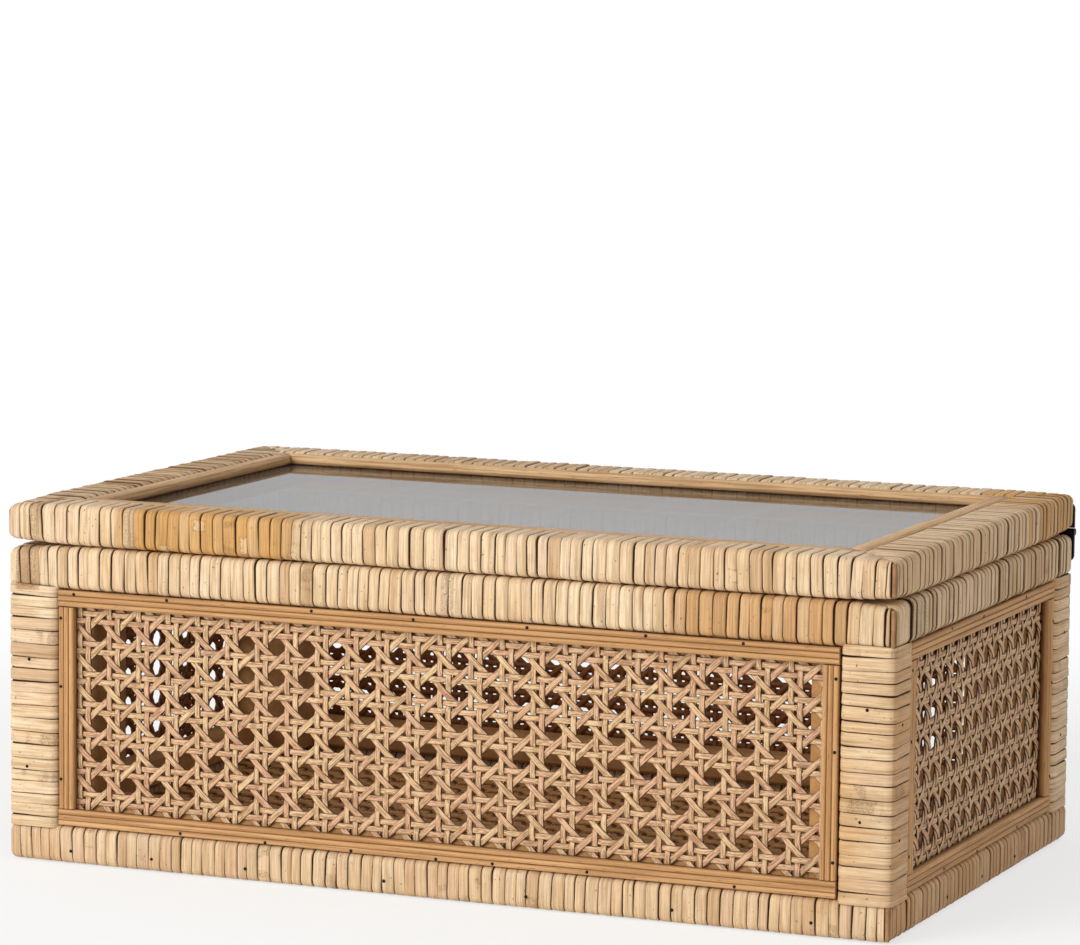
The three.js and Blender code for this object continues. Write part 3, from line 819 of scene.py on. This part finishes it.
def strandTree():
    graph, size = newTree(
        "Laid strands", length=0.3, width=0.0032, thickness=0.0033, strands=2, step=0.012, waviness=0.0002,
        swell=0.04, seed=1, finish=None)
    starts = graph.add("GeometryNodeMeshLine", {
        "Count": size.strands, "Start Location": graph.vector(0, 0, size.width * 0.5),
        "Offset": graph.vector(0, 0, size.width)})
    line = graph.add("GeometryNodeCurvePrimitiveLine", {
        "Start": graph.vector(size.length * -0.5), "End": graph.vector(size.length * 0.5)})
    line = graph.add("GeometryNodeResampleCurve", {"Curve": line, "Length": size.step}, mode="LENGTH")
    lines = graph.repeat(starts, line, size.seed)
    turn = graph.stored("turn")
    x, y, z = graph.point()
    sway = graph.noise(graph.vector(x * 14, turn * 60, size.seed), 1, 1) - 0.5
    lines = graph.move(lines, "Offset", 0, 0, sway * size.waviness * 2)
    lines = graph.add("GeometryNodeSetCurveNormal", {"Curve": lines}, mode="Z_UP")

    section = graph.flatSection(size.width, size.thickness)
    swell = 1 + (graph.noise(graph.vector(x * 30, turn * 40, size.seed), 1, 1) - 0.5) * size.swell
    laid = graph.sweep(lines, section, {"Scale": swell, "Fill Caps": True})
    laid = graph.store(laid, "lie", graph.vector(x + turn * 3, y + turn * 2, z), "FLOAT_VECTOR")
    return graph.close(laid, size.finish)


strandNodes = strandTree()

trims = dict(seed=101, sizes=dict(
    strands=3, width=0.00213, thickness=0.0033, step=0.008, waviness=0.00012, swell=0.05))

for number, (name, side) in enumerate(sides.items()):
    for kind, key in enumerate(("bottom", "top", "left", "right")):
        node = f"{key}_trim_{name}"
        low, high = sideBox(side, node)
        upright = key in ("left", "right")
        length = high.z - low.z if upright else high.x - low.x
        mesh = grow(
            strandNodes, length=length, seed=trims["seed"] + 10 * number + kind, finish=coreFinish,
            **trims["sizes"])
        if upright:  # x turns up, and the strands lie from left to right
            middle = Vector((high.x, high.y, (low.z + high.z) / 2))
            lay = Matrix.Translation(middle) @ Matrix.Rotation(-math.pi / 2, 4, "Y")
        else:
            lay = Matrix.Translation(((low.x + high.x) / 2, high.y, low.z))
        finishPiece(f"trim_{key}_{name}", [placed(mesh, side["place"] @ lay)], "box", "rattan_core", node)
print("trims laid")


# Small nails with dark heads, which hold the trims, the base and the posts' windings

# Where they are along the front, and how high on its uprights. On the other sides one stands at every step.
# They stray along their row, and in height by up to drop on a row and slide on an upright.
nails = dict(
    base=(-0.153, -0.118, -0.078, -0.020, 0.038, 0.096, 0.150),
    top=(-0.152, -0.112, -0.051, -0.009, 0.037, 0.084, 0.122),
    bottom=(-0.106, -0.070, -0.034, 0.001, 0.024, 0.062, 0.120),
    upright=(0.031, 0.070, 0.094), posts=((-0.171, 0.079), (-0.172, 0.037), (0.168, 0.044), (0.170, 0.085)),
    step=0.046, stray=0.006, drop=0.00036, slide=0.0036, baseShare=0.36, baseDepth=-0.0001,
    postDepth=-0.0004, seed=9, head=dict(radius=0.00068, proud=0.0002),
)


def nailTree():  # a low round head on every point that it is given, looking to -y
    graph, size = newTree("Nails", radius=0.0005, proud=0.0002, finish=None)
    head = graph.add("GeometryNodeMeshUVSphere", {"Segments": 8, "Rings": 4, "Radius": 1.0})
    heads = graph.add("GeometryNodeInstanceOnPoints", {
        "Points": size.geometry, "Instance": head,
        "Scale": graph.vector(size.radius, size.proud, size.radius)})
    return graph.close(heads, size.finish)


nailNodes = nailTree()
draw = random.Random(nails["seed"])
for name, side in sides.items():
    low, high = sideBox(side, f"bottom_trim_{name}")
    face, half = low.y, max(abs(low.x), abs(high.x))
    middle = trims["sizes"]["width"] / 2
    rows = {
        "base": (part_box(f"base_rail_{name}")[1].z * nails["baseShare"], nails["baseDepth"]),
        "top": (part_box(f"top_trim_{name}")[1].z - middle, face), "bottom": (low.z + middle, face)}
    points = []
    for row, (height, depth) in rows.items():
        along = nails[row]
        if name != "front":
            count = int(2 * half / nails["step"])
            along = [(i + 0.5 - count / 2) * nails["step"] + draw.uniform(-1, 1) * nails["stray"]
                     for i in range(count)]
        points += [(x, depth, height + draw.uniform(-1, 1) * nails["drop"]) for x in along]
    for end in (-1, 1):
        for height in nails["upright"]:
            points.append((end * (half - middle), face, height + draw.uniform(-1, 1) * nails["slide"]))
    for x, height in nails["posts"]:
        reach = side["length"] / 2 - (halfLength - abs(x))
        points.append((math.copysign(reach, x), nails["postDepth"], height))
    start = bpy.data.meshes.new("nails")
    start.from_pydata(points, [], [])
    mesh = grow(nailNodes, start, finish=steelFinish, **nails["head"])
    finishPiece(f"nails_{name}", [placed(mesh, side["place"])], "box", "black_steel")
print("nails driven")


# Beads: one strand along each side of the glass, with mitred ends

beads = dict(seed=151, sizes=dict(strands=1, step=0.01, waviness=0.0001, swell=0.05))

for number, (name, side) in enumerate(sides.items()):
    node = f"glass_bead_{name}"
    low, high = sideBox(side, node)
    length = high.x - low.x
    mesh = grow(
        strandNodes, length=length, width=high.y - low.y, thickness=high.z - low.z,
        seed=beads["seed"] + number, finish=beadFinish, **beads["sizes"])
    placed(mesh, Matrix.Rotation(-math.pi / 2, 4, "X"))  # the back turns down, the strand lies in depth
    lay = side["place"] @ Matrix.Translation((0, low.y, low.z))
    finishPiece(f"bead_{name}", [placed(mitre(mesh, length), lay)], "lid", "rattan_core", node)
print("beads laid")


# Cane webbing: pairs of strands up and along, and single slanting strands past every hole

cane = dict(
    along=0.012631, up=0.011766, strand=0.00232, slanting=0.0025, pairAlong=0.00175, pairUp=0.0015, seed=201,
    sizes=dict(thickness=0.00062, lift=0.00052, step=0.0021, stray=0.00018),
    holes={  # the middle of one hole of each panel: along its side, and its height
        "front": (-0.14318, 0.09033), "right": (0.00056, 0.08865), "back": (0.14136, 0.08190),
        "left": (-0.00392, 0.08271)},
)


def caneTree():  # one family of parallel strands in the x, z plane, weaving in y
    graph, size = newTree(
        "Cane strands", halfLength=0.16, halfHeight=0.046, spacing=0.01276, first=-0.1, strands=10, slope=0.0,
        wave=0.012, phase=0.0, lift=0.0005, width=0.0023, thickness=0.0006, step=0.0022, stray=0.0002, seed=1,
        finish=None)
    slope = size.slope
    starts = graph.add("GeometryNodeMeshLine", {"Count": size.strands, "Offset": (0, 0, 0)})
    line = graph.add("GeometryNodeCurvePrimitiveLine", {"Start": (0, 0, 0), "End": (0, 0, 1)})
    lines = graph.repeat(starts, line, size.seed)
    turn = graph.stored("turn")
    middle = size.first + graph.stored("number") * size.spacing
    # a strand runs from edge to edge of the panel, and a slanting one leaves by its sides too
    steep = abs(slope).of("MAXIMUM", 0.0001)
    aside = middle / steep * slope.of("SIGN")
    wide = size.halfLength / steep
    bottom = (size.halfHeight * -1).of("MAXIMUM", aside * -1 - wide)
    top = size.halfHeight.of("MINIMUM", wide - aside)
    x, y, z = graph.point()
    level = bottom + (top - bottom) * z
    lines = graph.move(lines, "Position", middle + slope * level, 0, level)
    lines = graph.add("GeometryNodeResampleCurve", {"Curve": lines, "Length": size.step}, mode="LENGTH")
    weave = (z * (2 * math.pi) / size.wave + size.phase).of("SINE") * size.lift
    stray = graph.noise(graph.vector(turn * 90, z * 90, size.seed)) - 0.5
    lines = graph.move(lines, "Offset", stray * size.stray * 2, weave * -1, 0)
    lines = graph.add("GeometryNodeSetCurveNormal", {"Curve": lines, "Normal": (0, -1, 0)}, mode="FREE")

    section = graph.flatSection(size.width, size.thickness)
    section = graph.add("GeometryNodeTransform", {
        "Geometry": section, "Translation": graph.vector(size.thickness * -0.5)})
    woven = graph.sweep(lines, section, {"Fill Caps": True})
    inward = graph.split(graph.add("GeometryNodeInputNormal"))[1]
    woven = graph.store(woven, "inner", inward, "FLOAT", "FACE")
    run = (1 + slope * slope) ** 0.5
    aside = (x - slope * z) / run
    woven = graph.store(woven, "lie", graph.vector(z * run + turn * 3, aside + turn * 5, y), "FLOAT_VECTOR")
    return graph.close(woven, size.finish)


caneNodes = caneTree()


def canePanel(length, height, holeX, holeZ, seed):  # holeX, holeZ: the middle of one hole
    along, up, beat = cane["along"], cane["up"], -2 * math.pi
    parts = []

    def family(halfLength, halfHeight, spacing, first, slope, wave, phase, width, number, flip=False):
        low = -halfLength - abs(slope) * halfHeight
        first = first + math.ceil((low - first) / spacing) * spacing
        mesh = grow(
            caneNodes, halfLength=halfLength, halfHeight=halfHeight, spacing=spacing, first=first,
            strands=int((-low - first) / spacing) + 1, slope=slope, wave=wave, phase=phase, width=width,
            seed=seed + number, finish=caneFinish, **cane["sizes"])
        if flip:  # the family was made standing, and lies along x
            placed(mesh, Matrix(((0, 0, 1, 0), (0, 1, 0, 0), (1, 0, 0, 0), (0, 0, 0, 1))))
            mesh.flip_normals()
        parts.append(mesh)

    # two strands beside each column of crossings, half a wave apart
    crossX, crossZ = holeX + along / 2, holeZ + up / 2
    for number, way in enumerate((-1, 1)):
        phase = beat * crossZ / up + (0 if way < 0 else math.pi)
        standing = crossX + way * cane["pairAlong"]
        family(length / 2, height / 2, along, standing, 0.0, up, phase, cane["strand"], number)
        phase = beat * crossX / along + (0 if way > 0 else math.pi)
        lying = crossZ + way * cane["pairUp"]
        family(height / 2, length / 2, up, lying, 0.0, along, phase, cane["strand"], 10 + number, True)
    # the slanting ones pass midway between two holes, where one way lies over and the other under
    for number, way in enumerate((-1, 1)):
        slope = way * along / up
        first = holeX + along / 2 - slope * holeZ
        phase = beat * holeZ / up - way * math.pi / 2
        family(length / 2, height / 2, along, first, slope, up, phase, cane["slanting"], 20 + number)
    return parts


for number, (name, side) in enumerate(sides.items()):
    node = f"cane_panel_{name}"
    low, high = sideBox(side, node)
    middleZ = (low.z + high.z) / 2
    holeX, holeZ = cane["holes"][name]
    parts = canePanel(high.x - low.x, high.z - low.z, holeX, holeZ - middleZ, cane["seed"] + 40 * number)
    lay = side["place"] @ Matrix.Translation((0, (low.y + high.y) / 2, middleZ))
    finishPiece(f"cane_{name}", [placed(mesh, lay) for mesh in parts], "box", "cane_webbing", node)
print("cane woven")


# Floor: flat strands woven over and under stakes

floorWeave = dict(
    weaverPitch=0.0052, stakePitch=0.0085, sectionPoints=8, weaverFlatness=0.35, stakeFlatness=0.6,
    piecesPerStake=4, stakePoints=9, steepness=1.4, stray=0.0004,
    sizes=dict(weaverWidth=0.0049, weaverThickness=0.0011, stakeWidth=0.0032, stakeThickness=0.0015, seed=401),
)


def floorTree():  # the weavers run along x and the stakes along y, about z = 0
    graph, size = newTree(
        "Floor weave", length=0.33, width=0.19, rows=37, columns=39, finish=None, **floorWeave["sizes"])
    turn = graph.stored("turn")
    x, y, z = graph.point()
    step, rowStep = size.length / size.columns, size.width / size.rows

    def lines(count, start, end, spacing, pieces, seed):  # parallel lines
        starts = graph.add("GeometryNodeMeshLine", {
            "Count": count, "Start Location": start, "Offset": spacing})
        line = graph.add("GeometryNodeCurvePrimitiveLine", {"Start": (0, 0, 0), "End": end})
        line = graph.add("GeometryNodeResampleCurve", {"Curve": line, "Count": pieces}, mode="COUNT")
        return graph.repeat(starts, line, seed)

    def strands(lines, width, thickness, flatness):  # a flat, domed section swept along the lines
        points = floorWeave["sectionPoints"]
        angle = graph.index() * (2 * math.pi / points) + math.pi / points
        rise = angle.of("SINE")
        dome = abs(rise) ** flatness
        section = graph.outline(
            points, dome, angle.of("COSINE") * width * 0.5, rise.of("SIGN") * dome * thickness * 0.5)
        lines = graph.add("GeometryNodeSetCurveNormal", {"Curve": lines}, mode="Z_UP")
        return graph.sweep(lines, section, {"Fill Caps": True})

    weavers = lines(
        size.rows, graph.vector(size.length * -0.5, (rowStep - size.width) * 0.5), graph.vector(size.length),
        graph.vector(0, rowStep, 0), size.columns * floorWeave["piecesPerStake"] + 1,
        size.seed)
    # over where the numbers of the stake and the weaver add up to an odd one
    beat = ((x / size.length + 0.5) * size.columns - 0.5 + graph.stored("number")) * math.pi
    wave = (beat.of("COSINE") * floorWeave["steepness"]).clamp(-1.0, 1.0)
    lift = (size.weaverThickness + size.stakeThickness) * 0.5
    stray = graph.noise(graph.vector(x * 40, turn * 70, size.seed)) - 0.5
    weavers = graph.move(weavers, "Offset", 0, stray * floorWeave["stray"], wave * lift * -1)
    weavers = strands(weavers, size.weaverWidth, size.weaverThickness, floorWeave["weaverFlatness"])
    weavers = graph.store(weavers, "lie", graph.vector(x + turn * 3, y + turn * 5, z), "FLOAT_VECTOR")

    stakes = lines(
        size.columns, graph.vector((step - size.length) * 0.5, size.width * -0.5),
        graph.vector(0, size.width, 0), graph.vector(step, 0, 0), floorWeave["stakePoints"],
        size.seed + 1)
    stakes = strands(stakes, size.stakeWidth, size.stakeThickness, floorWeave["stakeFlatness"])
    stakes = graph.store(stakes, "lie", graph.vector(y + turn * 3, x + turn * 5, z), "FLOAT_VECTOR")
    woven = graph.add("GeometryNodeJoinGeometry")
    for part in (stakes, weavers):
        graph.tree.links.new(part.socket, woven.socket.node.inputs[0])
    return graph.close(woven, size.finish)


low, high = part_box("woven_floor")
length, width = high.x - low.x, high.y - low.y
mesh = grow(
    floorTree(), length=length, width=width, rows=round(width / floorWeave["weaverPitch"]),
    columns=round(length / floorWeave["stakePitch"]),
    finish=makeCore("floorStrand", "floorLight", "floorDark"), **floorWeave["sizes"])
placed(mesh, Matrix.Translation((low + high) / 2))
finishPiece("floor_weave", [mesh], "box", "woven_floor", "woven_floor")
print("floor woven")


# The sticks, glass and hinges keep their shapes

for start, finish in {
        "top_stick": stickFinish, "bottom_stick": stickFinish, "inner_post": stickFinish,
        "glass_pane": glassFinish, "hinge": steelFinish}.items():
    for name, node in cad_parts.items():
        if name.startswith(start):
            node.data.materials.clear()
            node.data.materials.append(finish)
print("kept pieces finished")


# Camera, light and floor

view = dict(
    place=(0.71209, -1.70351 + middleY, 0.37060), yaw=22.813, pitch=6.833, roll=0.616,
    focal=4751.7, imageWidth=1080, sensor=36.0, target=Vector((0, 0, 0.07)))

camera = linked("camera", bpy.data.cameras.new("camera"))
camera.data.sensor_width = view["sensor"]
camera.data.lens = view["focal"] / view["imageWidth"] * view["sensor"]
aim = Matrix.Translation(view["place"])
for angle, axis in ((view["yaw"], "Z"), (90 - view["pitch"], "X"), (view["roll"], "Z")):
    aim = aim @ Matrix.Rotation(math.radians(angle), 4, axis)
camera.matrix_world = aim
bpy.context.scene.camera = camera

lamps = {
    "key": dict(place=(-1.3, -2.3, 1.05), size=1.6, power=60),
    "fill": dict(place=(2.2, -1.2, 1.2), size=1.6, power=7.4, color=(1.0, 0.93, 0.84)),
    "top": dict(place=(0.1, -0.3, 2.3), size=1.8, power=3),
}
for name, lamp in lamps.items():
    light = bpy.data.lights.new(name, "AREA")
    light.size = lamp["size"]
    light.energy = lamp["power"]
    light.color = lamp.get("color", (1.0, 1.0, 1.0))
    lightObject = linked(name, light)
    lightObject.location = lamp["place"]
    aim = view["target"] - Vector(lamp["place"])
    lightObject.rotation_euler = aim.to_track_quat("-Z", "Y").to_euler()

room = dict(
    skyStrength=0.50, floorColor="f4f4f2", fadeStart=0.3, fadeEnd=0.7, glow=0.65, size=40.0, below=0.0002)


def whiteWhereSeen(graph):  # 1 for what looks straight at it, in a mirror or through glass
    path = graph.add("ShaderNodeLightPath", output="Is Camera Ray")
    return (path + path.out("Is Glossy Ray") + path.out("Is Transmission Ray")).clamp()


world = bpy.data.worlds.new("room")
graph = emptied(world)
strength = room["skyStrength"] + whiteWhereSeen(graph) * (1 - room["skyStrength"])
sky = graph.add("ShaderNodeBackground", {"Color": (1, 1, 1, 1), "Strength": strength})
graph.end(sky, "ShaderNodeOutputWorld")
bpy.context.scene.world = world
bpy.context.scene.view_settings.view_transform = "Standard"

material, graph = newFinish("paleFloor")
distance = graph.add("ShaderNodeVectorMath", {0: graph.place()}, "Value", operation="LENGTH")
plain = graph.add("ShaderNodeBsdfPrincipled", {"Base Color": tint(room["floorColor"]), "Roughness": 0.9})
glow = graph.add("ShaderNodeEmission", {"Color": (1, 1, 1, 1), "Strength": 1.0})
fade = distance.ramp(room["fadeStart"], room["fadeEnd"], room["glow"], 1.0) * whiteWhereSeen(graph)
graph.end(graph.add("ShaderNodeMixShader", {0: fade, 1: plain, 2: glow}), "ShaderNodeOutputMaterial")
half = room["size"] / 2
floorMesh = bpy.data.meshes.new("floor")
floorMesh.from_pydata(
    [(-half, -half, 0), (half, -half, 0), (half, half, 0), (-half, half, 0)], [], [(0, 1, 2, 3)])
floorMesh.materials.append(material)
floorObject = linked("floor", floorMesh)
floorObject.location.z = cadBounds[0][2] - room["below"]
print("camera, light and floor set")
